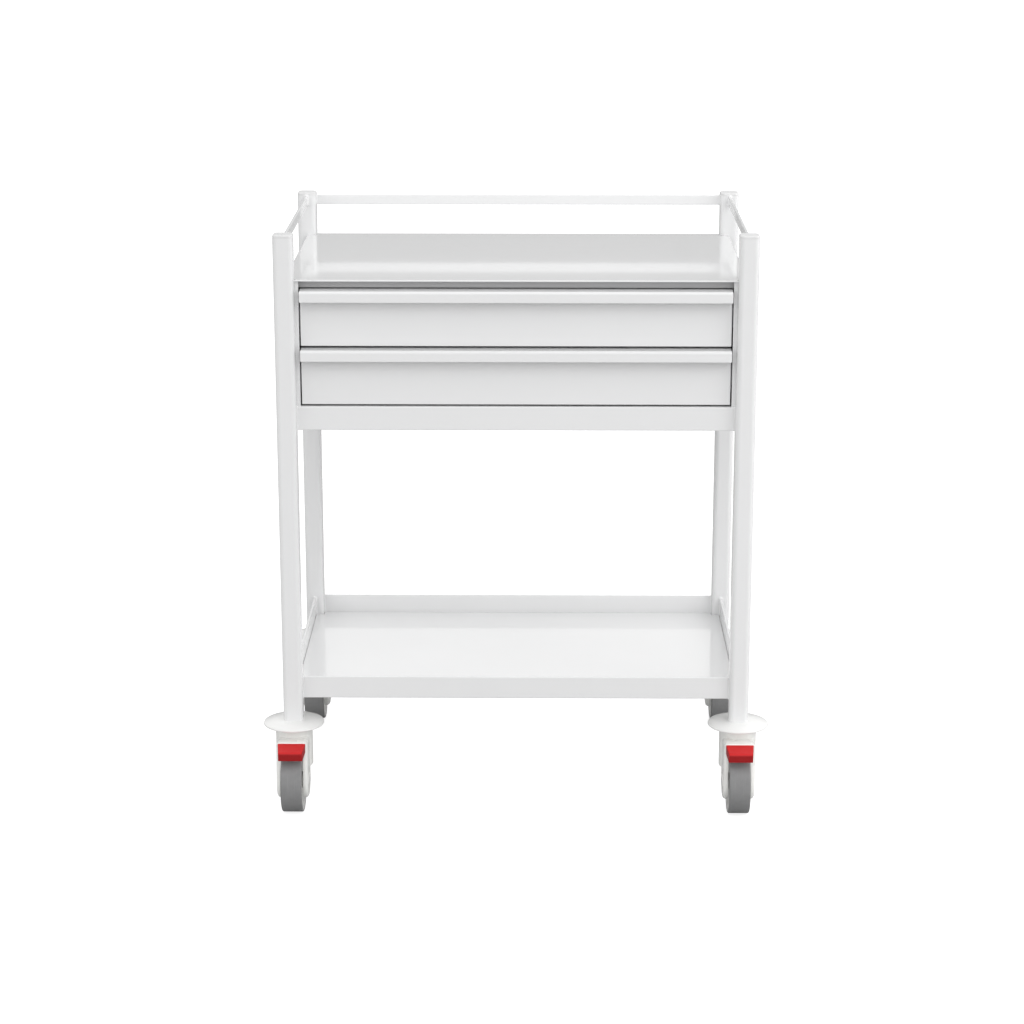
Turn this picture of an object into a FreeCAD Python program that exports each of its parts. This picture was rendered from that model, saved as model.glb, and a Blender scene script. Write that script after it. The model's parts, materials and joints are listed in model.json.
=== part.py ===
"""Two-drawer ward trolley: welded tube frame, drawer housing, lower shelf and four swivel castors.

Row frame: millimetres, +Z up, origin on the floor at the middle of the footprint, front towards -Y.
"""
import FreeCAD, Part
import math
import os

import Sketcher

DOC = FreeCAD.newDocument("ward_trolley")
SHEET = DOC.addObject("Spreadsheet::Sheet", "sizes")
NODES = []

# Driving dimensions, in millimetres (angles in degrees).
SIZES = {
    # frame
    "overall_height": 900,
    "post_width": 30,
    "post_wall": 2,
    "post_corner": 7.5,
    "post_span_x": 690,
    "post_span_y": 425,
    "post_base": 141,
    "cap_height": 5,
    "cap_round": 2.5,
    "cap_plug": 14,
    "cap_gap": 0.1,
    "frame_shift": 15.6,
    # flat bars and panels
    "bar_thick": 4,
    "bar_round": 1.5,
    "guard_height": 16,
    "guard_top": 895,
    "middle_bottom": 602,
    "middle_height": 36.5,
    "rim_bottom": 175,
    "rim_height": 35,
    "shelf_top": 180,
    "shelf_depth": 5,
    "shelf_sheet": 1.5,
    "shelf_round": 1.5,
    "top_level": 831,
    "top_sheet": 2,
    "top_round": 1.2,
    "top_overhang": 2,
    # drawer housing
    "housing_sheet": 1.2,
    "housing_inset": 17.5,
    "housing_lip": 6,
    "channel_inset": 27,
    "channel_height": 11.2,
    "channel_depth": 24,
    # drawers
    "drawer_width": 644,
    "drawer_height": 85.6,
    "drawer_bottom": 641,
    "drawer_pitch": 89.4,
    "front_depth": 18,
    "front_sheet": 1.2,
    "front_round": 1.2,
    "pull_depth": 18,
    "pull_height": 16.4,
    "pull_wall": 2,
    "pull_round": 4,
    "pull_edge": 1.2,
    "box_width": 622,
    "box_length": 368,
    "box_height": 60,
    "box_lift": 8,
    "box_sheet": 1,
    # drawer runners
    "runner_length": 360,
    "runner_setback": 3,
    "runner_sheet": 1.2,
    "runner_height": 45,
    "runner_reach": 10,
    "runner_stand_off": 4.8,
    "runner_gap": 0.6,
    "runner_play": 0.3,
    "runner_lip_play": 0.8,
    "spacer_width": 24,
    "spacer_height": 30,
    "screw_radius": 2,
    "screw_head": 4,
    "screw_pitch": 155,
    # castors
    "wheel_radius": 50,
    "wheel_width": 33,
    "trail": 28,
    "buffer_radius": 46.8,
    "buffer_bottom": 133.2,
    "buffer_edge": 1.2,
    "buffer_shoulder": 1.4,
    "buffer_rim": 3.2,
    "buffer_crown": 70,
    "buffer_collar": 20,
    "stem_radius": 11.5,
    "stem_top": 185,
    "race_radius": 24,
    "race_gap": 0.5,
    "king_radius": 6,
    "king_head": 10,
    "king_head_depth": 4,
    "king_reach": 27,
    "king_recess": 0.5,
    "running_gap": 0.05,
    "hood_radius": 28.5,
    "hood_top": 131,
    "hood_round": 2,
    "ledge_top": 118,
    "ledge_bottom": 100,
    "ledge_front": 50,
    "skirt_bottom": 66,
    "leg_half": 24.4,
    "leg_radius": 28,
    "leg_round": 6,
    "slot_half": 17.1,
    "wheel_gap": 3,
    "boss_radius": 11,
    "boss_half": 25.2,
    "axle_radius": 4,
    "axle_head": 6,
    "axle_head_depth": 1.5,
    "core_flange": 2,
    "core_step": 0.5,
    "core_web": 5,
    "hub_radius": 12,
    "web_inner": 15,
    "web_outer": 38,
    "rim_inner": 41,
    "core_seat": 43,
    "core_rim": 47.5,
    # brake pedals
    "pivot_back": 22,
    "pivot_level": 109,
    "trunnion_radius": 3,
    "trunnion_half": 21,
    "tongue_half": 16,
    "tongue_bottom": 102.3,
    "tongue_nose": 5,
    "tongue_taper": 16,
    "tongue_root": 1,
    "window_gap": 1,
    "window_rear": 13,
    "window_depth": 25,
    "pedal_gap": 0.5,
    "pedal_length": 29.5,
    "pedal_back": 42.8,
    "pedal_front": 36.4,
    "pedal_top": 117.5,
    "pedal_crease": 112,
    "pedal_depth": 13.5,
    "pedal_wall": 2.5,
    "pedal_relief": 1.8,
    "pedal_round": 4,
    "pedal_undercut": 3,
    "pedal_edge": 1,
    # larger than any castor piece, for cutters that trim all round one
    "clear_of_all": 120,
}

# Places that several pieces share, as expressions in the sheet's names.
FRONT_LINE = "(sizes.frame_shift - sizes.post_span_y / 2)"
REAR_LINE = "(sizes.frame_shift + sizes.post_span_y / 2)"
SIDE_LINE = "(sizes.post_span_x / 2)"
POST_FACE = "(sizes.frame_shift - sizes.post_span_y / 2 - sizes.post_width / 2)"
HOUSING_HALF = "(sizes.post_span_x / 2 - sizes.post_width / 2)"
INNER_HALF_Y = "(sizes.post_span_y / 2 - sizes.post_width / 2)"
HOUSING_FRONT = f"({POST_FACE} + sizes.housing_inset)"
HOUSING_REAR = f"({REAR_LINE} + sizes.post_width / 2 - sizes.housing_inset)"
HOUSING_BASE = "(sizes.middle_bottom + sizes.middle_height)"
TOP_UNDERSIDE = "(sizes.top_level - sizes.top_sheet)"
BOX_FRONT = f"({HOUSING_FRONT} + sizes.front_depth)"
RUNNER_WEB = f"({HOUSING_HALF} - sizes.housing_sheet - sizes.runner_stand_off)"
RUNNER_START = f"({BOX_FRONT} + sizes.runner_setback)"
AXLE = ("(-sizes.trail)", "sizes.wheel_radius")
CORNERS = {
    "front_left": ("-" + SIDE_LINE, FRONT_LINE),
    "front_right": (SIDE_LINE, FRONT_LINE),
    "rear_left": ("-" + SIDE_LINE, REAR_LINE),
    "rear_right": (SIDE_LINE, REAR_LINE),
}
DRAWERS = {"lower": 0, "upper": 1}


# ---------------------------------------------------------------- document helpers

def fill_sheet():
    """One row per driving dimension: its name in column A, its value and alias in column B."""
    for row, (alias, value) in enumerate(SIZES.items(), start=1):
        SHEET.set(f"A{row}", alias)
        SHEET.set(f"B{row}", str(value))
        SHEET.setAlias(f"B{row}", alias)
    DOC.recompute()


def size(expression):
    """Present value of an expression in the sheet's names."""
    return float(SHEET.evalExpression(str(expression)))


def new_body(label):
    body = DOC.addObject("PartDesign::Body", label)
    body.Label = label
    return body


def node(piece):
    """Keep a finished piece as a node of its own."""
    NODES.append(piece)
    return piece


def group(label, pieces):
    """Separate identical solids that share one node."""
    compound = DOC.addObject("Part::Compound", label)
    compound.Label = label
    compound.Links = pieces
    return node(compound)


def place(piece, x="0", y="0", z="0"):
    for letter, expression in zip("xyz", (x, y, z)):
        piece.setExpression(f"Placement.Base.{letter}", expression)
    return piece


def new_sketch(body, role, lift="0"):
    """Sketch on one of the body's own origin planes, moved along the plane's normal by lift."""
    sketch = body.newObject("Sketcher::SketchObject", "sketch")
    plane = next(f for f in body.Origin.OriginFeatures if f.Role == role)
    sketch.AttachmentSupport = [(plane, "")]
    sketch.MapMode = "FlatFace"
    sketch.setExpression("AttachmentOffset.Base.z", str(lift))
    return sketch


def bind(sketch, kind, geometry, expression):
    """Add a dimension to the sketch and tie it to an expression."""
    index = sketch.addConstraint(Sketcher.Constraint(kind, *geometry, size(expression)))
    sketch.setExpression(f"Constraints[{index}]", str(expression))


def add_outline(sketch, points, arcs=None):
    """Closed outline through points, anticlockwise; arcs maps a side's number to its radius.

    A side with an arc bows outwards from its radius' centre, which lies inside the outline.
    """
    arcs = arcs or {}
    first = sketch.GeometryCount
    count = len(points)
    values = [FreeCAD.Vector(size(x), size(y), 0) for x, y in points]
    for side in range(count):
        start, end = values[side], values[(side + 1) % count]
        if side not in arcs:
            sketch.addGeometry(Part.LineSegment(start, end))
            continue
        radius = size(arcs[side])
        chord = end - start
        inward = FreeCAD.Vector(-chord.y, chord.x, 0).normalize()
        centre = (start + end) / 2 + inward * math.sqrt(max(radius**2 - chord.Length**2 / 4, 0))
        angles = [math.atan2(p.y - centre.y, p.x - centre.x) for p in (start, end)]
        circle = Part.Circle(centre, FreeCAD.Vector(0, 0, 1), radius)
        sketch.addGeometry(Part.ArcOfCircle(circle, *angles))
    for side in range(count):
        following = first + (side + 1) % count
        sketch.addConstraint(Sketcher.Constraint("Coincident", first + side, 2, following, 1))
    for side, (x, y) in enumerate(points):
        bind(sketch, "DistanceX", (-1, 1, first + side, 1), x)
        bind(sketch, "DistanceY", (-1, 1, first + side, 1), y)
    for side, radius in arcs.items():
        bind(sketch, "Radius", (first + side,), radius)


def add_rounded_rectangle(sketch, half_width, half_height, radius):
    """Rectangle about the sketch's origin with four equal corner arcs."""
    first = sketch.GeometryCount
    w, h, r = size(half_width), size(half_height), size(radius)
    corners = [(w - r, r - h, -90), (w - r, h - r, 0), (r - w, h - r, 90), (r - w, r - h, 180)]
    ends = [(r - w, -h, w - r, -h), (w, r - h, w, h - r), (w - r, h, r - w, h), (-w, h - r, -w, r - h)]
    for x0, y0, x1, y1 in ends:
        sketch.addGeometry(Part.LineSegment(FreeCAD.Vector(x0, y0, 0), FreeCAD.Vector(x1, y1, 0)))
    for x, y, start in corners:
        circle = Part.Circle(FreeCAD.Vector(x, y, 0), FreeCAD.Vector(0, 0, 1), r)
        sketch.addGeometry(Part.ArcOfCircle(circle, math.radians(start), math.radians(start + 90)))
    for side in range(4):
        line, arc, following = first + side, first + 4 + side, first + (side + 1) % 4
        sketch.addConstraint(Sketcher.Constraint("Tangent", line, 2, arc, 1))
        sketch.addConstraint(Sketcher.Constraint("Tangent", arc, 2, following, 1))
        sketch.addConstraint(Sketcher.Constraint("Vertical" if side % 2 else "Horizontal", line))
    for arc in range(first + 5, first + 8):
        sketch.addConstraint(Sketcher.Constraint("Equal", first + 4, arc))
    bind(sketch, "Radius", (first + 4,), radius)
    bind(sketch, "DistanceY", (-1, 1, first, 1), f"-({half_height})")
    bind(sketch, "DistanceX", (-1, 1, first + 1, 1), half_width)
    bind(sketch, "DistanceY", (-1, 1, first + 2, 1), half_height)
    bind(sketch, "DistanceX", (-1, 1, first + 3, 1), f"-({half_width})")


def add_circle(sketch, x, y, radius):
    centre = FreeCAD.Vector(size(x), size(y), 0)
    index = sketch.addGeometry(Part.Circle(centre, FreeCAD.Vector(0, 0, 1), size(radius)))
    bind(sketch, "DistanceX", (-1, 1, index, 3), x)
    bind(sketch, "DistanceY", (-1, 1, index, 3), y)
    bind(sketch, "Radius", (index,), radius)


def pad(body, sketch, length, midplane=False, reverse=False):
    feature = body.newObject("PartDesign::Pad", "pad")
    feature.Profile = sketch
    feature.setExpression("Length", str(length))
    feature.Midplane = midplane
    feature.Reversed = reverse
    DOC.recompute()
    return feature


def pocket(body, sketch, length, midplane=False, reverse=False):
    """Cut a sketch into the body; a cut that removes nothing stops the build."""
    before = body.Shape.Volume
    feature = body.newObject("PartDesign::Pocket", "pocket")
    feature.Profile = sketch
    feature.setExpression("Length", str(length))
    feature.Midplane = midplane
    feature.Reversed = reverse
    DOC.recompute()
    if not body.Shape.Volume < before - 1e-3:
        raise RuntimeError(f"a pocket in {body.Label} cuts nothing")
    return feature


def revolve(body, sketch, axis):
    feature = body.newObject("PartDesign::Revolution", "revolution")
    feature.Profile = sketch
    feature.ReferenceAxis = (sketch, [axis])
    feature.Angle = 360
    DOC.recompute()
    return feature


def round_edges(body, radius, chosen):
    """Fillet the edges of the body's tip that chosen(edge) picks."""
    tip = body.Tip
    names = [f"Edge{i}" for i, edge in enumerate(tip.Shape.Edges, start=1) if chosen(edge)]
    if not names:
        raise RuntimeError(f"no edge to round in {body.Label}")
    feature = body.newObject("PartDesign::Fillet", "fillet")
    feature.Base = (tip, names)
    feature.setExpression("Radius", radius)
    DOC.recompute()
    return feature


def is_sharp(body, least_angle=5):
    """Test for an edge of the body's tip whose two faces meet at an angle, in degrees."""
    shape = body.Tip.Shape

    def test(edge):
        middle = edge.valueAt((edge.FirstParameter + edge.LastParameter) / 2)
        faces = shape.ancestorsOfType(edge, Part.Face)
        normals = [face.normalAt(*face.Surface.parameter(middle)) for face in faces]
        return len(normals) == 2 and normals[0].getAngle(normals[1]) > math.radians(least_angle)
    return test


def touching_point(point, centre, radius, turn):
    """Where the line from a point touches a circle, as expressions; turn, 1 or -1, picks the line."""
    (x, y), (centre_x, centre_y) = point, centre
    along, up = f"({x} - {centre_x})", f"({y} - {centre_y})"
    angle = f"(atan2({up}; {along}) + {turn} * acos({radius} / hypot({along}; {up})))"
    return f"({centre_x} + {radius} * cos({angle}))", f"({centre_y} + {radius} * sin({angle}))"


def lies_at(axis, value, tolerance=1e-4):
    """Test for an edge that lies wholly in the plane where the given coordinate has this value."""
    def test(edge):
        box = edge.BoundBox
        low, high = getattr(box, axis + "Min"), getattr(box, axis + "Max")
        return abs(low - value) < tolerance and abs(high - value) < tolerance
    return test


# ---------------------------------------------------------------- frame

def post(name, x, y):
    body = new_body(name)
    section = new_sketch(body, "XY_Plane")
    add_rounded_rectangle(section, "sizes.post_width / 2", "sizes.post_width / 2", "sizes.post_corner")
    inside = "sizes.post_width / 2 - sizes.post_wall"
    add_rounded_rectangle(section, inside, inside, "sizes.post_corner - sizes.post_wall")
    pad(body, section, "sizes.overall_height - sizes.cap_height - sizes.post_base")
    return node(place(body, x, y, "sizes.post_base"))


def post_cap(x, y):
    """Plastic end cap: a rounded head on the tube's end and a plug inside it."""
    body = new_body("post_cap")
    head = new_sketch(body, "XY_Plane")
    add_rounded_rectangle(head, "sizes.post_width / 2", "sizes.post_width / 2", "sizes.post_corner")
    pad(body, head, "sizes.cap_height")
    round_edges(body, "sizes.cap_round", lies_at("Z", size("sizes.cap_height")))
    plug = new_sketch(body, "XY_Plane")
    inside = "sizes.post_width / 2 - sizes.post_wall - sizes.cap_gap"
    add_rounded_rectangle(plug, inside, inside, "sizes.post_corner - sizes.post_wall - sizes.cap_gap")
    pad(body, plug, "sizes.cap_plug", reverse=True)
    return place(body, x, y, "sizes.overall_height - sizes.cap_height")


def bar(name, along, height, bottom, x="0", y="sizes.frame_shift"):
    """Flat bar on edge between two posts, along X or Y, with rounded edges."""
    body = new_body(name)
    section = new_sketch(body, "YZ_Plane" if along == "x" else "XZ_Plane")
    add_rounded_rectangle(section, "sizes.bar_thick / 2", f"{height} / 2", "sizes.bar_round")
    pad(body, section, f"sizes.post_span_{along} - sizes.post_width", midplane=True)
    return node(place(body, x, y, f"{bottom} + {height} / 2"))


def bar_ring(kind, sides, height, bottom):
    """Bars of one height on the named sides of the frame, on the posts' centre lines."""
    places = {
        "front": ("x", "0", FRONT_LINE),
        "rear": ("x", "0", REAR_LINE),
        "left": ("y", "-" + SIDE_LINE, "sizes.frame_shift"),
        "right": ("y", SIDE_LINE, "sizes.frame_shift"),
    }
    for side in sides:
        along, x, y = places[side]
        bar(f"{kind}_{side}", along, height, bottom, x, y)


def notched_sheet(body, half_x, half_y, lift="0"):
    """Sketch of a sheet that fills the frame and is notched round the four posts."""
    sketch = new_sketch(body, "XY_Plane", lift)
    inner_x, inner_y = HOUSING_HALF, INNER_HALF_Y
    quarter = [(inner_x, half_y), (inner_x, inner_y), (half_x, inner_y)]
    signs = [(1, -1), (1, 1), (-1, 1), (-1, -1)]
    points = []
    for turn, (sign_x, sign_y) in enumerate(signs):
        corner = quarter if turn % 2 == 0 else quarter[::-1]
        points += [(f"{sign_x} * ({x})", f"{sign_y} * ({y})") for x, y in corner]
    add_outline(sketch, points)
    return sketch


def top_panel():
    body = new_body("top_panel")
    half_y = "sizes.post_span_y / 2 + sizes.top_overhang"
    pad(body, notched_sheet(body, "sizes.post_span_x / 2", half_y), "sizes.top_sheet")
    round_edges(body, "sizes.top_round", lies_at("Z", size("sizes.top_sheet")))
    return node(place(body, "0", "sizes.frame_shift", TOP_UNDERSIDE))


def lower_shelf():
    """Sheet pan with a turned-down edge, sunk between the four rims."""
    body = new_body("lower_shelf")
    half_x = "sizes.post_span_x / 2 - sizes.bar_thick / 2"
    half_y = "sizes.post_span_y / 2 - sizes.bar_thick / 2"
    pad(body, notched_sheet(body, half_x, half_y), "sizes.shelf_depth")
    round_edges(body, "sizes.shelf_round", lies_at("Z", size("sizes.shelf_depth")))
    hollow = new_sketch(body, "XY_Plane")
    inset_x = f"{HOUSING_HALF} - sizes.shelf_sheet"
    inset_y = f"{half_y} - sizes.shelf_sheet"
    corners = [(f"-({inset_x})", f"-({inset_y})"), (inset_x, f"-({inset_y})"),
               (inset_x, inset_y), (f"-({inset_x})", inset_y)]
    add_outline(hollow, corners)
    pocket(body, hollow, "sizes.shelf_depth - sizes.shelf_sheet", reverse=True)
    return node(place(body, "0", "sizes.frame_shift", "sizes.shelf_top - sizes.shelf_depth"))


# ---------------------------------------------------------------- drawer housing

def drawer_middle(level):
    """Height of a drawer box's centre line, where its runners are."""
    return (f"(sizes.drawer_bottom + {level} * sizes.drawer_pitch"
            " + sizes.box_lift + sizes.box_height / 2)")


def screw_steps():
    """Places of the screws along a runner, measured from its front end."""
    return [f"(sizes.runner_length / 2 + {step} * sizes.screw_pitch)" for step in (-1, 0, 1)]


def screw_lines():
    """Places of the runner screws along Y."""
    return [f"({RUNNER_START} + {step})" for step in screw_steps()]


def housing_side(name, sign):
    """Side sheet with a lip at its front edge and holes for the runner screws."""
    body = new_body(name)
    plan = new_sketch(body, "XY_Plane", HOUSING_BASE)
    outer, inner = HOUSING_HALF, f"({HOUSING_HALF} - sizes.housing_sheet)"
    lip = f"({HOUSING_HALF} - sizes.housing_lip)"
    lip_back = f"({HOUSING_FRONT} + sizes.housing_sheet)"
    rear = f"({HOUSING_REAR} - sizes.housing_sheet)"
    points = [(lip, HOUSING_FRONT), (outer, HOUSING_FRONT), (outer, rear),
              (inner, rear), (inner, lip_back), (lip, lip_back)]
    if sign < 0:
        points = [(f"-{x}", y) for x, y in reversed(points)]
    add_outline(plan, points)
    pad(body, plan, f"{TOP_UNDERSIDE} - {HOUSING_BASE}")
    holes = new_sketch(body, "YZ_Plane", f"{sign} * {HOUSING_HALF}")
    for level in DRAWERS.values():
        for y in screw_lines():
            add_circle(holes, y, drawer_middle(level), "sizes.screw_radius")
    pocket(body, holes, "2 * sizes.housing_sheet", reverse=sign < 0)
    return node(body)


def housing_back():
    body = new_body("housing_back")
    plan = new_sketch(body, "XY_Plane", HOUSING_BASE)
    front = f"({HOUSING_REAR} - sizes.housing_sheet)"
    add_outline(plan, [(f"-{HOUSING_HALF}", front), (HOUSING_HALF, front),
                       (HOUSING_HALF, HOUSING_REAR), (f"-{HOUSING_HALF}", HOUSING_REAR)])
    pad(body, plan, f"{TOP_UNDERSIDE} - {HOUSING_BASE}")
    return node(body)


def housing_floor():
    body = new_body("housing_floor")
    half_x = "sizes.post_span_x / 2 - sizes.bar_thick / 2"
    half_y = "sizes.post_span_y / 2 - sizes.bar_thick / 2"
    pad(body, notched_sheet(body, half_x, half_y), "sizes.housing_sheet")
    return node(place(body, "0", "sizes.frame_shift", f"{HOUSING_BASE} - sizes.housing_sheet"))


def housing_top_channel():
    """Folded channel under the top's front edge, open towards the back."""
    body = new_body("housing_top_channel")
    section = new_sketch(body, "YZ_Plane")
    sheet = "sizes.housing_sheet"
    depth, height = "sizes.channel_depth", "sizes.channel_height"
    add_outline(section, [("0", "0"), (depth, "0"), (depth, sheet), (sheet, sheet),
                          (sheet, f"{height} - {sheet}"), (depth, f"{height} - {sheet}"),
                          (depth, height), ("0", height)])
    pad(body, section, f"2 * ({HOUSING_HALF} - {sheet})", midplane=True)
    return node(place(body, "0", f"{POST_FACE} + sizes.channel_inset", f"{TOP_UNDERSIDE} - {height}"))


# ---------------------------------------------------------------- runners

def runner_section(body, web, reach, half_height, sign):
    """C section across the runner; the web stands at the distance web and its lips reach from it."""
    sheet = "sizes.runner_sheet"
    section = new_sketch(body, "XZ_Plane")
    toward = 1 if size(reach) > 0 else -1
    skin = f"({web} + {toward} * {sheet})"
    tip = f"({web} + {reach})"
    inner = f"({half_height} - {sheet})"
    points = [(web, f"-{half_height}"), (tip, f"-{half_height}"), (tip, f"-{inner}"), (skin, f"-{inner}"),
              (skin, inner), (tip, inner), (tip, half_height), (web, half_height)]
    points = [(f"{sign} * {x}", z) for x, z in points]
    if toward * sign < 0:
        points.reverse()
    add_outline(section, points)
    pad(body, section, "sizes.runner_length", reverse=True)


def runner_outer(level, sign):
    """Fixed member: a channel on three spacer pads against the housing side."""
    body = new_body("runner_outer")
    half = "(sizes.runner_height / 2)"
    runner_section(body, RUNNER_WEB, "-sizes.runner_reach", half, sign)
    pads = new_sketch(body, "YZ_Plane", f"{sign} * {RUNNER_WEB}")
    for middle in screw_steps():
        low, high = f"({middle} - sizes.spacer_width / 2)", f"({middle} + sizes.spacer_width / 2)"
        tall = "sizes.spacer_height / 2"
        add_outline(pads, [(low, f"-{tall}"), (high, f"-{tall}"), (high, tall), (low, tall)])
    pad(body, pads, "sizes.runner_stand_off", reverse=sign < 0)
    holes = [("sizes.screw_radius", "sizes.runner_stand_off", sign > 0),
             ("sizes.screw_head", "sizes.runner_sheet", sign < 0)]
    for radius, depth, reverse in holes:
        circles = new_sketch(body, "YZ_Plane", f"{sign} * {RUNNER_WEB}")
        for middle in screw_steps():
            add_circle(circles, middle, "0", radius)
        pocket(body, circles, depth, reverse=reverse)
    return place(body, "0", RUNNER_START, drawer_middle(level))


def runner_middle(level, sign):
    """Sliding member that runs inside the fixed one."""
    body = new_body("runner_middle")
    web = f"({RUNNER_WEB} - sizes.runner_sheet - sizes.runner_gap)"
    half = "(sizes.runner_height / 2 - sizes.runner_sheet - sizes.runner_play)"
    runner_section(body, web, "-(sizes.runner_reach - sizes.runner_lip_play)", half, sign)
    return place(body, "0", RUNNER_START, drawer_middle(level))


def runner_inner(level, sign):
    """Member on the drawer box's side, its lips reaching out into the sliding member."""
    body = new_body("runner_inner")
    half = "(sizes.runner_height / 2 - 2 * sizes.runner_sheet - 2 * sizes.runner_play)"
    reach = "(sizes.runner_reach - sizes.runner_lip_play)"
    runner_section(body, "(sizes.box_width / 2)", reach, half, sign)
    return place(body, "0", RUNNER_START, drawer_middle(level))


def runner_screw(level, y, sign):
    """Flat-headed screw that holds a fixed runner member to the housing side."""
    body = new_body("runner_screw")
    profile = new_sketch(body, "XZ_Plane")
    head, shank = "sizes.screw_head", "sizes.screw_radius"
    inner = f"({RUNNER_WEB} - sizes.runner_sheet)"
    points = [(inner, "0"), (HOUSING_HALF, "0"), (HOUSING_HALF, shank), (RUNNER_WEB, shank),
              (RUNNER_WEB, head), (inner, head)]
    if sign < 0:
        points = [(f"-{x}", z) for x, z in reversed(points)]
    add_outline(profile, points)
    revolve(body, profile, "H_Axis")
    return place(body, "0", y, drawer_middle(level))


# ---------------------------------------------------------------- drawers

def drawer_front(name, level):
    """Folded front pan, open behind where the box's front wall closes it."""
    body = new_body(name)
    half, height = "sizes.drawer_width / 2", "sizes.drawer_height"
    face = new_sketch(body, "XZ_Plane")
    add_outline(face, [(f"-{half}", "0"), (half, "0"), (half, height), (f"-{half}", height)])
    pad(body, face, "sizes.front_depth", reverse=True)
    round_edges(body, "sizes.front_round", lies_at("Y", 0))
    hollow = new_sketch(body, "XZ_Plane", "-sizes.front_depth")
    wall = "sizes.front_sheet"
    side, top = f"({half} - {wall})", f"({height} - {wall})"
    add_outline(hollow, [(f"-{side}", wall), (side, wall), (side, top), (f"-{side}", top)])
    pocket(body, hollow, f"sizes.front_depth - {wall}", reverse=True)
    return node(place(body, "0", HOUSING_FRONT, f"sizes.drawer_bottom + {level} * sizes.drawer_pitch"))


def drawer_pull(name, level):
    """Full-width pull lip: closed top, front and ends, open below and behind for the fingers."""
    body = new_body(name)
    half, depth, height = "sizes.drawer_width / 2", "sizes.pull_depth", "sizes.pull_height"
    section = new_sketch(body, "YZ_Plane")
    add_outline(section, [(f"-{depth}", f"-{height}"), ("0", f"-{height}"), ("0", "0"), (f"-{depth}", "0")])
    pad(body, section, "sizes.drawer_width", midplane=True)
    front, low = -size(depth), -size(height)

    def top_front(edge):
        return lies_at("Y", front)(edge) and lies_at("Z", 0)(edge)

    def front_ends(edge):
        ends = lies_at("X", size(half))(edge) or lies_at("X", -size(half))(edge)
        return ends and not lies_at("Y", 0)(edge) and not lies_at("Z", low)(edge)

    round_edges(body, "sizes.pull_round", top_front)
    round_edges(body, "sizes.pull_edge", front_ends)
    hollow = new_sketch(body, "XY_Plane", f"-{height}")
    wall = "sizes.pull_wall"
    side, inner = f"({half} - {wall})", f"-({depth} - {wall})"
    add_outline(hollow, [(f"-{side}", inner), (side, inner), (side, wall), (f"-{side}", wall)])
    pocket(body, hollow, f"{height} - {wall}", reverse=True)
    top = f"sizes.drawer_bottom + {level} * sizes.drawer_pitch + sizes.drawer_height"
    return node(place(body, "0", HOUSING_FRONT, top))


def drawer_box(name, level):
    """Folded tray behind the front."""
    body = new_body(name)
    half, length, wall = "sizes.box_width / 2", "sizes.box_length", "sizes.box_sheet"
    plan = new_sketch(body, "XY_Plane")
    add_outline(plan, [(f"-{half}", "0"), (half, "0"), (half, length), (f"-{half}", length)])
    pad(body, plan, "sizes.box_height")
    hollow = new_sketch(body, "XY_Plane", "sizes.box_height")
    side, rear = f"({half} - {wall})", f"({length} - {wall})"
    add_outline(hollow, [(f"-{side}", wall), (side, wall), (side, rear), (f"-{side}", rear)])
    pocket(body, hollow, f"sizes.box_height - {wall}")
    base = f"sizes.drawer_bottom + {level} * sizes.drawer_pitch + sizes.box_lift"
    return node(place(body, "0", BOX_FRONT, base))


# ---------------------------------------------------------------- castors

def buffer_disc(name, x, y):
    """Thin domed saucer clamped between the post's foot and the castor."""
    body = new_body(name)
    profile = new_sketch(body, "XZ_Plane")
    bore = "(sizes.stem_radius + sizes.running_gap)"
    rim, bottom = "sizes.buffer_radius", "sizes.buffer_bottom"
    edge, shoulder = "sizes.buffer_edge", "sizes.buffer_shoulder"
    upper = f"({bottom} + sizes.buffer_rim)"
    add_outline(profile, [(bore, bottom), (f"{rim} - {edge}", bottom), (rim, f"{bottom} + {edge}"),
                          (rim, f"{upper} - {shoulder}"), (f"{rim} - {shoulder}", upper),
                          ("sizes.buffer_collar", "sizes.post_base"), (bore, "sizes.post_base")],
                arcs={1: edge, 3: shoulder, 4: "sizes.buffer_crown"})
    revolve(body, profile, "V_Axis")
    return node(place(body, x, y))


def castor_stem(x, y):
    """Stem in the post, with the fixed race under the buffer and the king pin below it."""
    body = new_body("castor_stem")
    profile = new_sketch(body, "XZ_Plane")
    head_top = "(sizes.hood_top - sizes.king_reach)"
    head_bottom = f"({head_top} - sizes.king_head_depth)"
    race_bottom, race_top = "(sizes.hood_top + sizes.race_gap)", "sizes.buffer_bottom"
    add_outline(profile, [("0", head_bottom), ("sizes.king_head", head_bottom),
                          ("sizes.king_head", head_top), ("sizes.king_radius", head_top),
                          ("sizes.king_radius", race_bottom), ("sizes.race_radius", race_bottom),
                          ("sizes.race_radius", race_top), ("sizes.stem_radius", race_top),
                          ("sizes.stem_radius", "sizes.stem_top"), ("0", "sizes.stem_top")])
    revolve(body, profile, "V_Axis")
    return place(body, x, y)


def leg_block(body):
    """Ledge and both legs in one rounded block, whose sides run smoothly round the axle."""
    side_view = new_sketch(body, "YZ_Plane")
    leg, rear = "sizes.leg_radius", f"({AXLE[0]} + sizes.leg_radius)"
    ledge = ("(-sizes.ledge_front)", "sizes.ledge_bottom")
    add_outline(side_view, [(rear, AXLE[1]), (rear, "sizes.ledge_top"),
                            (ledge[0], "sizes.ledge_top"), ledge,
                            touching_point(ledge, AXLE, leg, 1), (AXLE[0], f"{AXLE[1]} - {leg}")],
                arcs={4: leg, 5: leg})
    pad(body, side_view, "2 * sizes.leg_half", midplane=True)
    half = size("sizes.leg_half")
    round_edges(body, "sizes.leg_round", lambda edge: lies_at("X", half)(edge) or lies_at("X", -half)(edge))
    round_edges(body, "sizes.hood_round", is_sharp(body))


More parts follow.
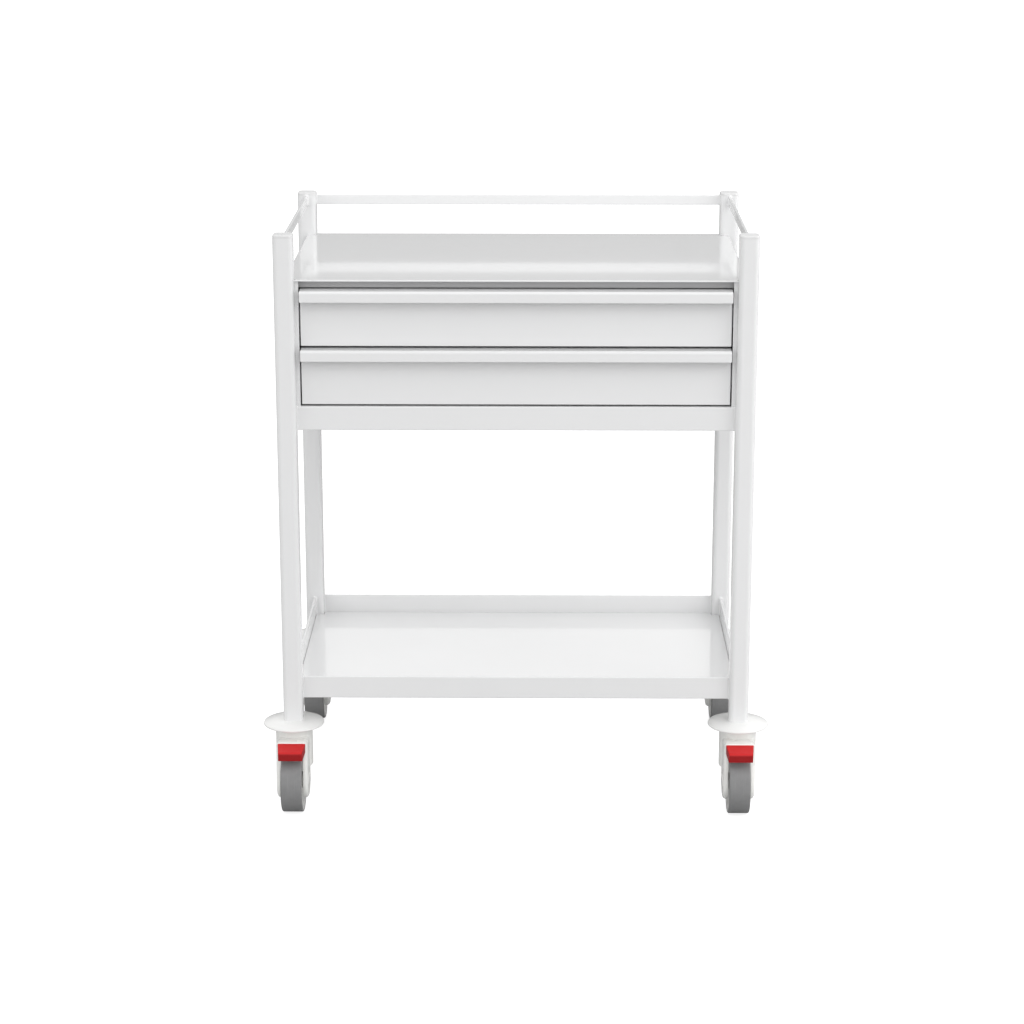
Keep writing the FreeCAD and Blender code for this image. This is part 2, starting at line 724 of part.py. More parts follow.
def hood_cylinder():
    """Round hood over the wheel, which carries the upper race."""
    body = new_body("hood")
    plan = new_sketch(body, "XY_Plane", "sizes.skirt_bottom")
    add_circle(plan, "0", "0", "sizes.hood_radius")
    pad(body, plan, "sizes.hood_top - sizes.skirt_bottom")
    round_edges(body, "sizes.hood_round", is_sharp(body))
    return body


def join(body, other):
    """Fuse another body into this one."""
    feature = body.newObject("PartDesign::Boolean", "join")
    feature.setObjects([other])
    feature.Type = "Fuse"
    DOC.recompute()


def cut_wheel_room(body):
    """Slot for the wheel between two bosses, with the axle's bore and the recesses for its heads."""
    boss = new_sketch(body, "YZ_Plane")
    add_circle(boss, *AXLE, "sizes.boss_radius")
    pad(body, boss, "2 * sizes.boss_half", midplane=True)
    slot = new_sketch(body, "YZ_Plane")
    add_circle(slot, *AXLE, "sizes.wheel_radius + sizes.wheel_gap")
    pocket(body, slot, "2 * sizes.slot_half", midplane=True)
    bore = new_sketch(body, "YZ_Plane")
    add_circle(bore, *AXLE, "sizes.axle_radius")
    pocket(body, bore, "2 * sizes.clear_of_all", midplane=True)
    for side in (-1, 1):
        recess = new_sketch(body, "YZ_Plane", f"{side} * sizes.boss_half")
        add_circle(recess, *AXLE, "sizes.axle_head")
        pocket(body, recess, "sizes.axle_head_depth", reverse=side < 0)


def cut_king_pin_room(body):
    """Bore for the king pin and, below it, a wider room for the pin's head."""
    head_room = "(sizes.hood_top - sizes.king_reach + sizes.king_recess)"
    rooms = [("sizes.hood_top", "sizes.king_radius + sizes.running_gap"),
             (head_room, "sizes.king_head + sizes.king_recess")]
    for top, radius in rooms:
        room = new_sketch(body, "XY_Plane", top)
        add_circle(room, "0", "0", radius)
        pocket(body, room, f"{top} - sizes.wheel_radius")


def cut_pedal_room(body):
    """Window in the ledge for the pedal's tongue, with the bore that its trunnions turn in."""
    window = new_sketch(body, "XY_Plane", "sizes.ledge_top - sizes.pedal_wall")
    half, rear = "(sizes.tongue_half + sizes.window_gap)", "(-sizes.window_rear)"
    front = "(-sizes.ledge_front - sizes.pedal_wall)"
    add_outline(window, [(f"-{half}", front), (half, front), (half, rear), (f"-{half}", rear)])
    pocket(body, window, "sizes.window_depth")
    bore = new_sketch(body, "YZ_Plane")
    add_circle(bore, "-sizes.pivot_back", "sizes.pivot_level", "sizes.trunnion_radius + sizes.running_gap")
    pocket(body, bore, "2 * (sizes.trunnion_half + sizes.running_gap)", midplane=True)


def castor_fork(name, x, y, braked):
    """Moulded hood and fork; a braked one has a window for the pedal's tongue."""
    body = new_body(name)
    leg_block(body)
    join(body, hood_cylinder())
    cut_wheel_room(body)
    cut_king_pin_room(body)
    if braked:
        cut_pedal_room(body)
    return node(place(body, x, y))


def castor_axle(name, x, y):
    """Axle pin with a flat head sunk in each boss."""
    body = new_body(name)
    profile = new_sketch(body, "XZ_Plane")
    end, neck = "sizes.boss_half", "(sizes.boss_half - sizes.axle_head_depth)"
    pin, head = "sizes.axle_radius", "sizes.axle_head"
    add_outline(profile, [(f"-{end}", "0"), (end, "0"), (end, head), (neck, head), (neck, pin),
                          (f"-{neck}", pin), (f"-{neck}", head), (f"-{end}", head)])
    revolve(body, profile, "H_Axis")
    return node(place(body, x, f"{y} - sizes.trail", "sizes.wheel_radius"))


def wheel_core(name, x, y):
    """Moulded wheel: hub, dished web and a rim with two flanges that hold the tyre."""
    body = new_body(name)
    profile = new_sketch(body, "XZ_Plane")
    bore = "sizes.axle_radius + sizes.running_gap"
    hub, web = "(sizes.wheel_width / 2)", "sizes.core_web"
    face = f"({hub} - sizes.core_step)"
    seat_half = f"({face} - sizes.core_flange)"
    right = [(hub, bore), (hub, "sizes.hub_radius"), (web, "sizes.web_inner"), (web, "sizes.web_outer"),
             (face, "sizes.rim_inner"), (face, "sizes.core_rim"), (seat_half, "sizes.core_rim"),
             (seat_half, "sizes.core_seat")]
    left = [(f"-{across}", radius) for across, radius in reversed(right)]
    add_outline(profile, right + left)
    revolve(body, profile, "H_Axis")
    return node(place(body, x, f"{y} - sizes.trail", "sizes.wheel_radius"))


def tyre(name, x, y):
    """Grey tread moulded over the core's rim, with rounded shoulders."""
    body = new_body(name)
    profile = new_sketch(body, "XZ_Plane")
    side = "(sizes.wheel_width / 2)"
    seat_half = f"({side} - sizes.core_step - sizes.core_flange)"
    seat, rim, crown = "sizes.core_seat", "sizes.core_rim", "sizes.wheel_radius"
    shoulder = f"({crown} - {rim})"
    add_outline(profile, [(f"-{seat_half}", seat), (seat_half, seat), (seat_half, rim), (side, rim),
                          (f"{side} - {shoulder}", crown), (f"-({side} - {shoulder})", crown),
                          (f"-{side}", rim), (f"-{seat_half}", rim)], arcs={3: shoulder, 5: shoulder})
    revolve(body, profile, "H_Axis")
    return node(place(body, x, f"{y} - sizes.trail", "sizes.wheel_radius"))


def pedal_shell(body):
    """Tapered shell of the pedal, open below; its back leans forward to clear the ledge as it tips."""
    back = "(-sizes.ledge_front - sizes.pedal_gap)"
    front = f"({back} - sizes.pedal_length)"
    depth, wall, far = "sizes.pedal_depth", "sizes.pedal_wall", "sizes.clear_of_all"
    side_view = new_sketch(body, "YZ_Plane")
    add_outline(side_view, [(f"{front} + sizes.pedal_undercut", f"sizes.pedal_crease - {depth}"),
                            (f"{back} - sizes.pedal_relief", f"sizes.pedal_top - {depth}"),
                            (back, "sizes.pedal_top"), (front, "sizes.pedal_crease")])
    pad(body, side_view, "sizes.pedal_back", midplane=True)
    trim = new_sketch(body, "XY_Plane", "sizes.hood_top")
    add_outline(trim, [(f"-{far}", f"-{far}"), (far, f"-{far}"), (far, "0"), (f"-{far}", "0")])
    add_outline(trim, [("-sizes.pedal_front / 2", front), ("sizes.pedal_front / 2", front),
                       ("sizes.pedal_back / 2", back), ("-sizes.pedal_back / 2", back)])
    pocket(body, trim, "sizes.hood_top")
    at_front, at_crease = lies_at("Y", size(front)), lies_at("Z", size("sizes.pedal_crease"))
    round_edges(body, "sizes.pedal_round", lambda edge: at_front(edge) and at_crease(edge))
    sharp, above_base = is_sharp(body), size(f"sizes.pedal_top - {depth} + {wall} / 2")
    round_edges(body, "sizes.pedal_edge", lambda edge: sharp(edge) and edge.BoundBox.ZMax > above_base)
    hollow = new_sketch(body, "XY_Plane", "sizes.pedal_crease - sizes.pedal_wall")
    narrow, wide = f"(sizes.pedal_front / 2 - {wall})", f"(sizes.pedal_back / 2 - {wall})"
    near, rear = f"({front} + sizes.pedal_undercut + {wall})", f"({back} - sizes.pedal_relief - {wall})"
    add_outline(hollow, [(f"-{narrow}", near), (narrow, near), (wide, rear), (f"-{wide}", rear)])
    pocket(body, hollow, "sizes.pedal_depth + sizes.pedal_wall")
    return back


def brake_pedal(name, x, y):
    """Red foot pedal: tapered shell, a tongue that is also the brake shoe, and two trunnions."""
    body = new_body(name)
    back = pedal_shell(body)
    tongue = new_sketch(body, "YZ_Plane")
    pivot_y, pivot_z, nose = "(-sizes.pivot_back)", "sizes.pivot_level", "sizes.tongue_nose"
    root, bottom = f"({back} - sizes.tongue_root)", "sizes.tongue_bottom"
    add_outline(tongue, [(root, bottom), (f"{pivot_y} - sizes.tongue_taper", bottom),
                         (pivot_y, f"{pivot_z} - {nose}"), (f"{pivot_y} + {nose}", pivot_z),
                         (pivot_y, f"{pivot_z} + {nose}"), (root, f"{pivot_z} + {nose}")],
                arcs={2: nose, 3: nose})
    pad(body, tongue, "2 * sizes.tongue_half", midplane=True)
    trunnions = new_sketch(body, "YZ_Plane")
    add_circle(trunnions, pivot_y, pivot_z, "sizes.trunnion_radius")
    pad(body, trunnions, "2 * sizes.trunnion_half", midplane=True)
    return node(place(body, x, y))


# ---------------------------------------------------------------- assembly

def build_frame():
    for corner, (x, y) in CORNERS.items():
        post(f"post_{corner}", x, y)
    group("post_caps", [post_cap(x, y) for x, y in CORNERS.values()])
    bar_ring("guard_rail", ("rear", "left", "right"), "sizes.guard_height",
             "(sizes.guard_top - sizes.guard_height)")
    all_sides = ("front", "rear", "left", "right")
    bar_ring("middle_rail", all_sides, "sizes.middle_height", "sizes.middle_bottom")
    bar_ring("shelf_rim", all_sides, "sizes.rim_height", "sizes.rim_bottom")
    top_panel()
    lower_shelf()


def build_housing():
    housing_side("housing_side_left", -1)
    housing_side("housing_side_right", 1)
    housing_back()
    housing_floor()
    housing_top_channel()
    levels = DRAWERS.values()
    screws = [runner_screw(level, y, sign) for level in levels for y in screw_lines() for sign in (-1, 1)]
    group("runner_screws", screws)


def build_drawers():
    for name, level in DRAWERS.items():
        group(f"runner_outer_{name}", [runner_outer(level, sign) for sign in (-1, 1)])
        group(f"runner_middle_{name}", [runner_middle(level, sign) for sign in (-1, 1)])
        group(f"runner_inner_{name}", [runner_inner(level, sign) for sign in (-1, 1)])
        drawer_box(f"drawer_box_{name}", level)
        drawer_front(f"drawer_front_{name}", level)
        drawer_pull(f"drawer_pull_{name}", level)


def build_castors():
    group("castor_stems", [castor_stem(x, y) for x, y in CORNERS.values()])
    for corner, (x, y) in CORNERS.items():
        braked = corner.startswith("front")
        buffer_disc(f"buffer_disc_{corner}", x, y)
        castor_fork(f"castor_fork_{corner}", x, y, braked)
        castor_axle(f"castor_axle_{corner}", x, y)
        wheel_core(f"wheel_core_{corner}", x, y)
        tyre(f"tyre_{corner}", x, y)
        if braked:
            brake_pedal(f"brake_pedal_{corner}", x, y)


def check_document():
    """Stop on any failed object or unsound shape before anything is written."""
    DOC.recompute()
    failed = [o.Label for o in DOC.Objects if "Invalid" in o.State or "Error" in o.State]
    unsound = [n.Label for n in NODES if n.Shape.isNull() or not n.Shape.isValid() or not n.Shape.Solids]
    if failed or unsound:
        raise RuntimeError(f"failed objects {failed}, unsound shapes {unsound}")


def write_parts():
    os.makedirs("parts", exist_ok=True)
    for piece in NODES:
        piece.Shape.exportStep(f"parts/{piece.Label}.step")
        box = piece.Shape.optimalBoundingBox(False)
        print(f"{piece.Label:28s} solids {len(piece.Shape.Solids):2d}  cm3 {piece.Shape.Volume / 1000:9.2f}"
              f"  X {box.XMin:8.2f} {box.XMax:8.2f}  Y {box.YMin:8.2f} {box.YMax:8.2f}"
              f"  Z {box.ZMin:7.2f} {box.ZMax:7.2f}")
    print(len(NODES), "nodes")


fill_sheet()
build_frame()
build_housing()
build_drawers()
build_castors()
check_document()
write_parts()
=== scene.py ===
"""Looks of the two-drawer ward trolley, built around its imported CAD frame.

Row frame: metres, +Z up, origin on the floor at the middle of the footprint, front towards -Y.
"""

import json
import math

import bmesh
import bpy
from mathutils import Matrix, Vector


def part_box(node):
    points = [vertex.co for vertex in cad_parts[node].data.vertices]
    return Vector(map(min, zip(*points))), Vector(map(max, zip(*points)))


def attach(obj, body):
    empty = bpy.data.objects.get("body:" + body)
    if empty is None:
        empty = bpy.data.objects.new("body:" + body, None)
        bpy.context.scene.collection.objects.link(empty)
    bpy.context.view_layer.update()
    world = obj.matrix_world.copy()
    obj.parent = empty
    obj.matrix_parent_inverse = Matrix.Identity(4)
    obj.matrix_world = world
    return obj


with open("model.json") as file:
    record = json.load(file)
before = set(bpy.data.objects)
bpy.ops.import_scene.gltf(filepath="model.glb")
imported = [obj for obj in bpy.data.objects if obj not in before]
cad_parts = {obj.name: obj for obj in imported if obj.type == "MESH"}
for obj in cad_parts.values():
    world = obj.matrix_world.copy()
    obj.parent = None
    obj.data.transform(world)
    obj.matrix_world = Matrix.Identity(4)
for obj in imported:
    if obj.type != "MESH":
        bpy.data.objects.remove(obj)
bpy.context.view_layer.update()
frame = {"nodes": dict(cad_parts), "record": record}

MM = 0.001

# Camera: the trolley fills about 60 percent of the frame's height, seen from the front and a little above.
CAMERA_PLACE = (0.0301, -4.00685, 1.5268)
CAMERA_PITCH = 15.444
CAMERA_TURN = 0.541
CAMERA_LENS = 91.38
SENSOR_WIDTH = 36.0

# Brightness of the surround, and the heights (sine of elevation) between which the back panel starts.
OVERHEAD_LIGHT = 0.79
FRONT_LIGHT = 1.02
BACK_LIGHT = 0.42
BACK_PANEL_LIGHT = 0.45
BACK_PANEL_START = (0.20, 0.32)

# Soft boxes: place, width, height and power in watts. They all face the middle of the trolley.
SOFT_BOXES = {
    "right_box": ((3.4, -0.6, 1.6), 4.0, 2.8, 58),
    "left_box": ((-3.4, -1.6, 1.6), 2.0, 2.0, 20),
    "high_box": ((2.6, -2.4, 3.4), 2.0, 2.0, 18),
}
SOFT_BOX_TARGET = (0, 0, 0.5)

# Studio floor: its half width, the grey that it throws back and the glow that the camera sees.
FLOOR_HALF = 30.0
FLOOR_GREY = 0.48
FLOOR_GLOW = 0.82

# Colours of the finishes (linear red, green, blue).
WHITE_PAINT = (0.84, 0.842, 0.845)
# Painted shade: a darker grey for the recess under the top, standing in for the shade that falls there.
RECESS_PAINTED_SHADE = (0.475, 0.475, 0.48)
CAP_WHITE = (0.76, 0.76, 0.76)
BUFFER_WHITE = (0.87, 0.87, 0.86)
FORK_WHITE = (0.93, 0.93, 0.905)
CORE_GREY = (0.74, 0.74, 0.725)
TYRE_GREY = (0.25, 0.25, 0.252)
# Pedal reds: a lighter red for faces that turn up and a darker red for the sides. This is light and shade
# painted by the slope of the face.
PEDAL_LIT_TOP_RED = (0.60, 0.012, 0.014)
PEDAL_SHADED_SIDE_RED = (0.36, 0.006, 0.008)
ZINC_GREY = (0.62, 0.63, 0.65)

# Shades of a finish's own colour, as factors of it.
PAINT_CLOUD_SHADE = 0.988
PAINT_SPECK_SHADE = 0.7
PAINT_SPECK_WEIGHT = 0.10
PLASTIC_FLOW_SHADE = 0.97
RUBBER_MOTTLE_SHADES = (0.95, 1.04)
RUBBER_SCUFF_SHADE = 1.25
ZINC_SPANGLE_SHADES = (0.95, 1.04)

# Weld fillets between the flat bars and the posts.
BAR_EDGE = 1.5 * MM
WELD_RADIUS = 2.6 * MM
WELD_SINK = 0.4 * MM
WELD_STEPS = 6
WELD_CORNER_STEPS = 5
WELD_RIPPLE = 0.08
WELD_RIPPLE_TURN = 2.1
WELDED_BARS = ("guard_rail_", "middle_rail_", "shelf_rim_")

SLOT_OF_NODE = {part["node"]: part["material_slot"] for part in frame["record"]["subparts"]}


# ---------------------------------------------------------------- camera, floor and light

def make_camera():
    data = bpy.data.cameras.new("camera")
    data.lens = CAMERA_LENS
    data.sensor_width = SENSOR_WIDTH
    camera = bpy.data.objects.new("camera", data)
    camera.location = CAMERA_PLACE
    camera.rotation_euler = (math.radians(90 - CAMERA_PITCH), 0, math.radians(CAMERA_TURN))
    bpy.context.scene.collection.objects.link(camera)
    bpy.context.scene.camera = camera


def make_floor():
    """Plain pale studio floor, seen as white; what it throws back on the trolley is its own grey."""
    half = FLOOR_HALF
    corners = [(-half, -half, 0), (half, -half, 0), (half, half, 0), (-half, half, 0)]
    mesh = bpy.data.meshes.new("studio_floor")
    mesh.from_pydata(corners, [], [(0, 1, 2, 3)])
    floor = bpy.data.objects.new("studio_floor", mesh)
    bpy.context.scene.collection.objects.link(floor)
    material, tree, shader, _ = new_material("studio_floor")
    shader.inputs["Base Color"].default_value = (FLOOR_GREY, FLOOR_GREY, FLOOR_GREY, 1)
    shader.inputs["Roughness"].default_value = 1.0
    shader.inputs["Specular IOR Level"].default_value = 0.0
    shader.inputs["Emission Color"].default_value = (1, 1, 1, 1)
    seen = tree.nodes.new("ShaderNodeLightPath").outputs["Is Camera Ray"]
    tree.links.new(add_math(tree, "MULTIPLY", seen, FLOOR_GLOW), shader.inputs["Emission Strength"])
    mesh.materials.append(material)


def make_world():
    """Soft surround: bright overhead and in front, dim behind up to a pale panel well above the floor."""
    world = bpy.data.worlds.new("studio")
    bpy.context.scene.world = world
    world.use_nodes = True
    tree = world.node_tree
    background = tree.nodes["Background"]
    background.inputs["Color"].default_value = (1, 1, 1, 1)
    split = tree.nodes.new("ShaderNodeSeparateXYZ")
    tree.links.new(tree.nodes.new("ShaderNodeTexCoord").outputs["Generated"], split.inputs[0])
    overhead = add_math(tree, "MAXIMUM", split.outputs["Z"], 0.0)
    behind = add_math(tree, "MAXIMUM", split.outputs["Y"], 0.0)
    in_front = add_math(tree, "MAXIMUM", add_math(tree, "MULTIPLY", split.outputs["Y"], -1.0), 0.0)
    panel = add_range(tree, split.outputs["Z"], BACK_PANEL_START, (0.0, BACK_PANEL_LIGHT), kind="SMOOTHSTEP")
    level = add_math(tree, "MULTIPLY", overhead, OVERHEAD_LIGHT)
    level = add_math(tree, "MULTIPLY_ADD", in_front, FRONT_LIGHT, level)
    level = add_math(tree, "MULTIPLY_ADD", behind, add_math(tree, "ADD", panel, BACK_LIGHT), level)
    seen = tree.nodes.new("ShaderNodeLightPath").outputs["Is Camera Ray"]
    tree.links.new(add_math(tree, "MAXIMUM", level, seen), background.inputs["Strength"])


def make_soft_boxes():
    """A large box on the right, a smaller one on the left and a weak one high in front."""
    for name, (place, width, height, power) in SOFT_BOXES.items():
        data = bpy.data.lights.new(name, "AREA")
        data.shape = "RECTANGLE"
        data.size = width
        data.size_y = height
        data.energy = power
        light = bpy.data.objects.new(name, data)
        light.location = place
        light.rotation_euler = (Vector(SOFT_BOX_TARGET) - Vector(place)).to_track_quat("-Z", "Y").to_euler()
        bpy.context.scene.collection.objects.link(light)


def set_plain_view():
    settings = bpy.context.scene.view_settings
    settings.view_transform = "Standard"
    settings.look = "None"


# ---------------------------------------------------------------- node helpers

def feed(tree, value, socket):
    """Link an output to a socket, or set the socket's own value."""
    if isinstance(value, bpy.types.NodeSocket):
        tree.links.new(value, socket)
    else:
        socket.default_value = value


def add_math(tree, operation, *values):
    node = tree.nodes.new("ShaderNodeMath")
    node.operation = operation
    for value, socket in zip(values, node.inputs):
        feed(tree, value, socket)
    return node.outputs[0]


def add_noise(tree, vector, scale, detail=2.0, roughness=0.5):
    node = tree.nodes.new("ShaderNodeTexNoise")
    node.inputs["Scale"].default_value = scale
    node.inputs["Detail"].default_value = detail
    node.inputs["Roughness"].default_value = roughness
    tree.links.new(vector, node.inputs["Vector"])
    return node.outputs["Fac"]


def add_streaks(tree, vector, scales, detail=2.0, roughness=0.5):
    """Noise drawn out into streaks: a scale of its own along each axis."""
    node = tree.nodes.new("ShaderNodeVectorMath")
    node.operation = "MULTIPLY"
    tree.links.new(vector, node.inputs[0])
    node.inputs[1].default_value = scales
    return add_noise(tree, node.outputs[0], 1.0, detail, roughness)


def add_range(tree, value, source, target=(0.0, 1.0), kind="LINEAR"):
    """The value carried over from the source range to the target range, and held at its ends."""
    node = tree.nodes.new("ShaderNodeMapRange")
    node.interpolation_type = kind
    node.inputs["From Min"].default_value = source[0]
    node.inputs["From Max"].default_value = source[1]
    node.inputs["To Min"].default_value = target[0]
    node.inputs["To Max"].default_value = target[1]
    tree.links.new(value, node.inputs["Value"])
    return node.outputs["Result"]


def add_mix(tree, factor, first, second):
    node = tree.nodes.new("ShaderNodeMix")
    node.data_type = "RGBA"
    feed(tree, factor, node.inputs["Factor"])
    feed(tree, first, node.inputs["A"])
    feed(tree, second, node.inputs["B"])
    return node.outputs["Result"]


def add_bump(tree, height, strength, distance, normal=None):
    node = tree.nodes.new("ShaderNodeBump")
    node.inputs["Strength"].default_value = strength
    node.inputs["Distance"].default_value = distance
    tree.links.new(height, node.inputs["Height"])
    if normal is not None:
        tree.links.new(normal, node.inputs["Normal"])
    return node.outputs["Normal"]


def new_material(name):
    """A material with its tree, its shader and the piece's own coordinates, in metres."""
    material = bpy.data.materials.new(name)
    material.use_nodes = True
    tree = material.node_tree
    place = tree.nodes.new("ShaderNodeTexCoord").outputs["Object"]
    return material, tree, tree.nodes["Principled BSDF"], place


def shade(colour, factor=1.0):
    return tuple(channel * factor for channel in colour) + (1.0,)


# ---------------------------------------------------------------- materials

def make_powder_coat(name, colour, roughness, peel, coat):
    """Gloss powder coat: orange peel, wiping marks in the gloss, stray specks and a clear top skin."""
    material, tree, shader, place = new_material(name)
    cloud = add_noise(tree, place, scale=7.0, detail=4.0, roughness=0.55)
    cloud = add_range(tree, cloud, source=(0.3, 0.7))
    tint = add_mix(tree, cloud, shade(colour, PAINT_CLOUD_SHADE), shade(colour))
    specks = add_noise(tree, place, scale=900.0, detail=1.0)
    specks = add_range(tree, specks, source=(0.70, 0.76), target=(0.0, PAINT_SPECK_WEIGHT))
    tint = add_mix(tree, specks, tint, shade(colour, PAINT_SPECK_SHADE))
    tree.links.new(tint, shader.inputs["Base Color"])

    wiping = add_streaks(tree, place, scales=(6.0, 60.0, 60.0), detail=4.0, roughness=0.6)
    wiping = add_range(tree, wiping, source=(0.3, 0.7), target=(roughness * 0.92, roughness * 1.12))
    tree.links.new(wiping, shader.inputs["Roughness"])

    coarse_peel = add_noise(tree, place, scale=55.0, detail=1.0)
    fine_peel = add_noise(tree, place, scale=420.0, detail=1.5)
    bump = add_bump(tree, coarse_peel, peel, distance=1.0 * MM)
    bump = add_bump(tree, fine_peel, peel, distance=0.3 * MM, normal=bump)
    tree.links.new(bump, shader.inputs["Normal"])
    shader.inputs["Coat Weight"].default_value = coat
    shader.inputs["Coat Roughness"].default_value = 0.06
    return material


def make_plastic(name, colour, roughness, grain, gloss=0.5):
    """Moulded plastic: fine spark-eroded grain, faint flow lines and slow changes of gloss."""
    material, tree, shader, place = new_material(name)
    flow = add_streaks(tree, place, scales=(30.0, 30.0, 9.0), detail=3.0)
    flow_tint = add_range(tree, flow, source=(0.3, 0.7))
    tint = add_mix(tree, flow_tint, shade(colour, PLASTIC_FLOW_SHADE), shade(colour))
    tree.links.new(tint, shader.inputs["Base Color"])

    flow_gloss = add_range(tree, flow, source=(0.3, 0.7), target=(roughness * 0.85, roughness * 1.2))
    tree.links.new(flow_gloss, shader.inputs["Roughness"])
    shader.inputs["Specular IOR Level"].default_value = gloss

    sparks = add_noise(tree, place, scale=2500.0, detail=2.0)
    tree.links.new(add_bump(tree, sparks, grain, distance=0.05 * MM), shader.inputs["Normal"])
    return material


def make_pedal_plastic():
    """Red plastic with painted light and shade: lighter on faces that turn up, darker on the sides and on
    faces that turn down.
    """
    material = make_plastic("pedal_red", PEDAL_LIT_TOP_RED, roughness=0.45, grain=0.1, gloss=0.3)
    tree = material.node_tree
    colour_socket = tree.nodes["Principled BSDF"].inputs["Base Color"]
    lit_red = colour_socket.links[0].from_socket
    split = tree.nodes.new("ShaderNodeSeparateXYZ")
    tree.links.new(tree.nodes.new("ShaderNodeNewGeometry").outputs["Normal"], split.inputs[0])
    # Painted shade: the colour runs from the dark red on the sides to the lighter red on faces that turn up.
    slope_shade = add_range(tree, split.outputs["Z"], source=(0.15, 0.7))
    tree.links.new(add_mix(tree, slope_shade, shade(PEDAL_SHADED_SIDE_RED), lit_red), colour_socket)
    return material


def make_rubber(name, colour):
    """Non-marking rubber: faintly mottled, with soft scuff lines that run round the tread."""
    material, tree, shader, place = new_material(name)
    mottle = add_noise(tree, place, scale=90.0, detail=4.0, roughness=0.6)
    scuffs = add_streaks(tree, place, scales=(900.0, 25.0, 25.0), detail=3.0)
    mottle_tint = add_range(tree, mottle, source=(0.35, 0.65))
    scuff_tint = add_range(tree, scuffs, source=(0.55, 0.75), target=(0.0, 0.35))
    dark, light = RUBBER_MOTTLE_SHADES
    tint = add_mix(tree, mottle_tint, shade(colour, dark), shade(colour, light))
    tint = add_mix(tree, scuff_tint, tint, shade(colour, RUBBER_SCUFF_SHADE))
    tree.links.new(tint, shader.inputs["Base Color"])

    mottle_gloss = add_range(tree, mottle, source=(0.3, 0.7), target=(0.42, 0.55))
    tree.links.new(mottle_gloss, shader.inputs["Roughness"])
    shader.inputs["Specular IOR Level"].default_value = 0.35
    tree.links.new(add_bump(tree, scuffs, strength=0.2, distance=0.1 * MM), shader.inputs["Normal"])
    return material


def make_zinc(name, colour):
    """Zinc-plated steel: bright metal with a soft spangle and fine rolling lines along its length."""
    material, tree, shader, place = new_material(name)
    spangle = add_noise(tree, place, scale=70.0, detail=2.0)
    spangle_tint = add_range(tree, spangle, source=(0.35, 0.65))
    dark, light = ZINC_SPANGLE_SHADES
    tint = add_mix(tree, spangle_tint, shade(colour, dark), shade(colour, light))
    tree.links.new(tint, shader.inputs["Base Color"])

    spangle_gloss = add_range(tree, spangle, source=(0.3, 0.7), target=(0.30, 0.38))
    tree.links.new(spangle_gloss, shader.inputs["Roughness"])
    shader.inputs["Metallic"].default_value = 1.0
    lines = add_streaks(tree, place, scales=(700.0, 12.0, 700.0), detail=1.0)
    tree.links.new(add_bump(tree, lines, strength=0.05, distance=0.05 * MM), shader.inputs["Normal"])
    return material


def make_materials():
    """One material for each slot of the record, and a grey for the recess under the top that stands for the
    shade there: painted shade.
    """
    return {
        "frame_paint": make_powder_coat("frame_paint", WHITE_PAINT, roughness=0.20, peel=0.05, coat=0.6),
        "panel_paint": make_powder_coat("panel_paint", WHITE_PAINT, roughness=0.12, peel=0.02, coat=1.0),
        "drawer_paint": make_powder_coat("drawer_paint", WHITE_PAINT, roughness=0.22, peel=0.03, coat=0.4),
        "recess_painted_shade": make_powder_coat("recess_painted_shade", RECESS_PAINTED_SHADE, roughness=0.45, peel=0.05, coat=0.1),
        "cap_plastic": make_plastic("cap_plastic", CAP_WHITE, roughness=0.30, grain=0.1),
        "buffer_plastic": make_plastic("buffer_plastic", BUFFER_WHITE, roughness=0.18, grain=0.05),
        "fork_plastic": make_plastic("fork_plastic", FORK_WHITE, roughness=0.26, grain=0.1),
        "core_plastic": make_plastic("core_plastic", CORE_GREY, roughness=0.35, grain=0.15),
        "tyre_grey": make_rubber("tyre_grey", TYRE_GREY),
        "pedal_red": make_pedal_plastic(),
        "zinc_steel": make_zinc("zinc_steel", ZINC_GREY),
    }


def dress_cad_nodes(materials):
    for name, piece in frame["nodes"].items():
        # The recess channel under the top gets the darker grey, which is painted shade, not a paint of its
        # own.
        finish = "recess_painted_shade" if name == "housing_top_channel" else SLOT_OF_NODE[name]
        piece.data.materials.clear()
        piece.data.materials.append(materials[finish])


# ---------------------------------------------------------------- weld fillets

def rounded_section(half_width, half_height, radius):
    """Outline of a bar's section, anticlockwise: (across, up) with the outward direction at each point."""
    points = []
    quarter = math.pi / 2
    for turn, (sign_x, sign_y) in enumerate([(1, 1), (-1, 1), (-1, -1), (1, -1)]):
        centre = (sign_x * (half_width - radius), sign_y * (half_height - radius))
        for step in range(WELD_CORNER_STEPS + 1):
            angle = quarter * (turn + step / WELD_CORNER_STEPS)
            outward = (math.cos(angle), math.sin(angle))
            points.append((centre[0] + radius * outward[0], centre[1] + radius * outward[1], *outward))
    return points


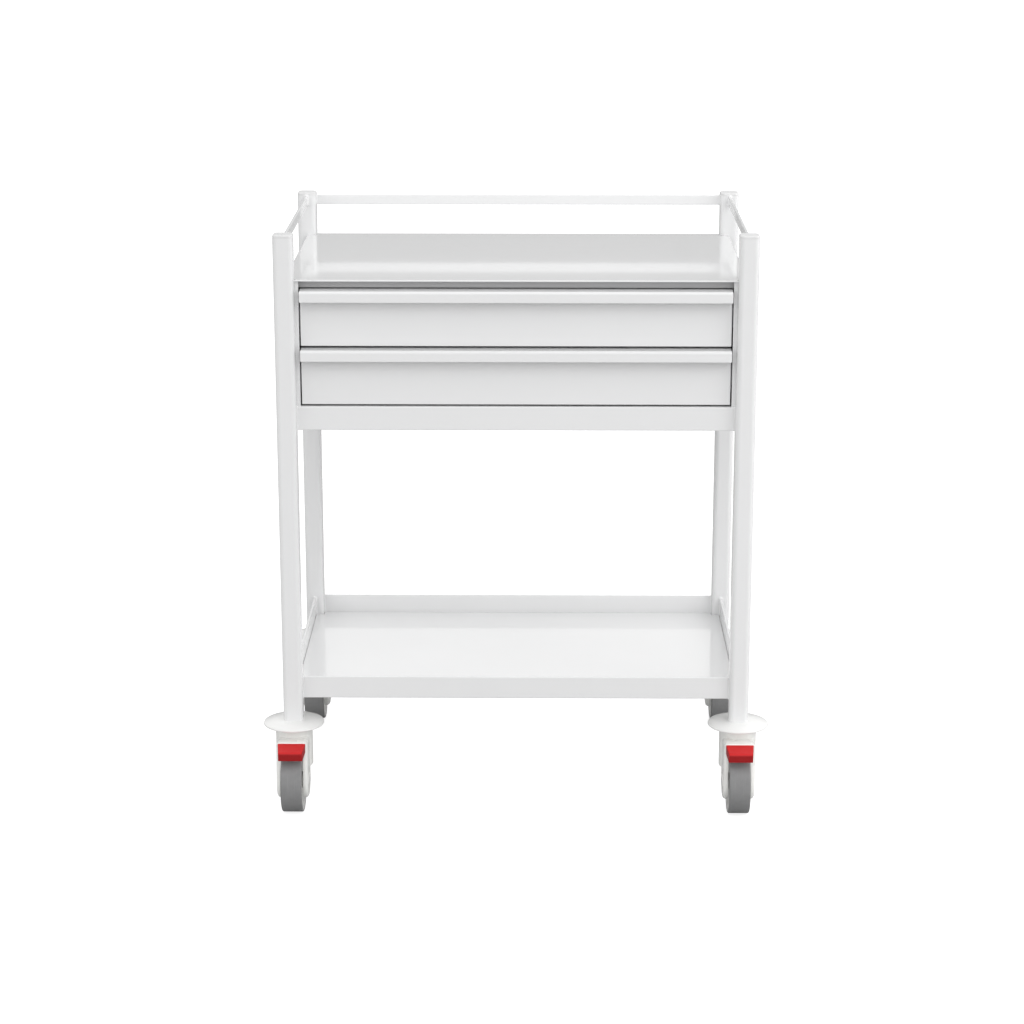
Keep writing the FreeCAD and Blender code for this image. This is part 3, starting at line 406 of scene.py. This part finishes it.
def weld_profile(radius):
    """Section of the fillet, (away from the bar, away from the post): a hollow curve, closed inside both."""
    curve = []
    for step in range(WELD_STEPS + 1):
        angle = math.pi / 2 * step / WELD_STEPS
        curve.append((radius * (1 - math.sin(angle)), radius * (1 - math.cos(angle))))
    return curve + [(-WELD_SINK, radius), (-WELD_SINK, -WELD_SINK), (radius, -WELD_SINK)]


def add_weld(mesh, section, along, end, inward, centre):
    """One ring of weld round the end of a bar; inward is the direction from the post into the bar."""
    rings = []
    for number, (across, up, out_across, out_up) in enumerate(section):
        swell = 1 + WELD_RIPPLE * math.sin(number * WELD_RIPPLE_TURN)
        ring = []
        for away, off_post in weld_profile(WELD_RADIUS * swell):
            place = Vector((0, 0, centre[2] + up + out_up * away))
            place[along] = end + inward * off_post
            place[1 - along] = centre[1 - along] + across + out_across * away
            ring.append(mesh.verts.new(place))
        rings.append(ring)
    for ring, following in zip(rings, rings[1:] + rings[:1]):
        for index in range(len(ring)):
            after = (index + 1) % len(ring)
            mesh.faces.new((ring[index], following[index], following[after], ring[after]))


def make_welds(node, material):
    """Painted weld fillets where a flat bar meets the two posts that carry it."""
    low, high = (Vector(corner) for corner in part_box(node))
    size = high - low
    centre = (low + high) / 2
    along = 0 if size.x > size.y else 1
    section = rounded_section(size[1 - along] / 2, size.z / 2, BAR_EDGE)
    mesh = bmesh.new()
    for end, inward in ((low[along], 1), (high[along], -1)):
        add_weld(mesh, section, along, end, inward, centre)
    bmesh.ops.recalc_face_normals(mesh, faces=mesh.faces)
    data = bpy.data.meshes.new(f"weld_{node}")
    mesh.to_mesh(data)
    mesh.free()
    data.polygons.foreach_set("use_smooth", [True] * len(data.polygons))
    data.materials.append(material)
    weld = bpy.data.objects.new(f"weld_{node}", data)
    bpy.context.scene.collection.objects.link(weld)
    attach(weld, "frame")


def make_all_welds(material):
    for node in frame["nodes"]:
        if node.startswith(WELDED_BARS):
            make_welds(node, material)


# ---------------------------------------------------------------- scene

make_camera()
make_floor()
make_world()
make_soft_boxes()
set_plain_view()
materials = make_materials()
dress_cad_nodes(materials)
make_all_welds(materials["frame_paint"])
